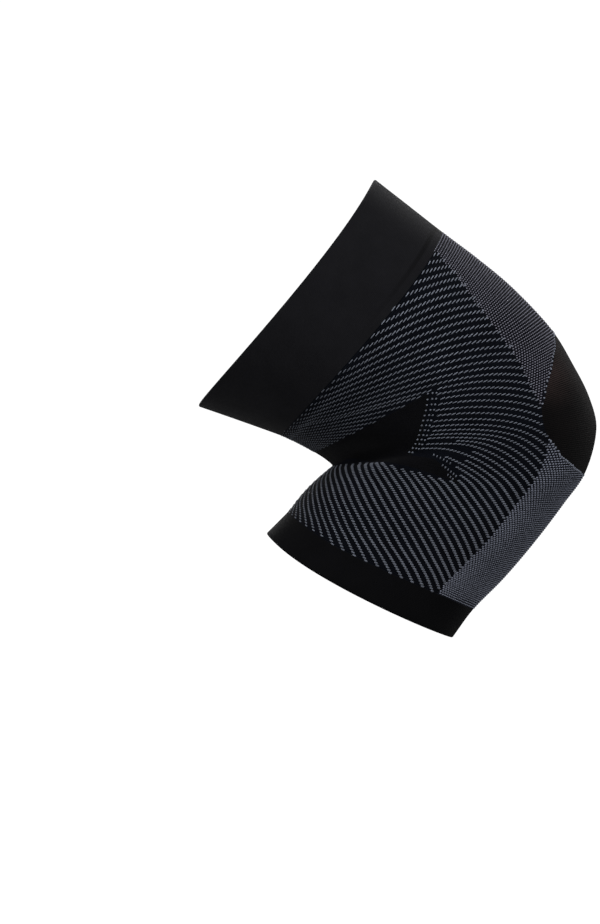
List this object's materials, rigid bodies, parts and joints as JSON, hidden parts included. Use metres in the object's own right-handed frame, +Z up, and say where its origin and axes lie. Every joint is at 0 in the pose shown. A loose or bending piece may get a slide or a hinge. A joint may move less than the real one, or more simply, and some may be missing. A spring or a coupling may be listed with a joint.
{
  "type": "knee compression sleeve",
  "caption": "Tubular knit sleeve for a bent knee, with plain cuffs at thigh and calf, diagonal striped sides, a sheer kneecap window and a plain panel behind the knee.",
  "frame": {"origin": "centre of the knee joint inside the hollow, where the leg holds the sleeve", "axes": "+X forward out of the kneecap, +Y across the knee, +Z up, with the thigh raised and the calf hanging back"},
  "size_m": [0.2067, 0.134, 0.2381],
  "materials": {
    "knit_black": "matt black rib knit",
    "knit_front": "matt grey and black birdseye knit",
    "knit_striped": "matt black knit with grey diagonal stripes",
    "knit_sheer": "thin black open knit",
    "knit_shin": "matt blue-grey heather knit"
  },
  "bodies": {
    "root": {"thigh_cuff": "knit_black", "thigh_front_panel": "knit_front", "striped_body": "knit_striped", "kneecap_window": "knit_sheer", "shin_panel": "knit_shin", "knee_hollow_panel": "knit_black", "calf_cuff": "knit_black"}
  },
  "joints": []
}
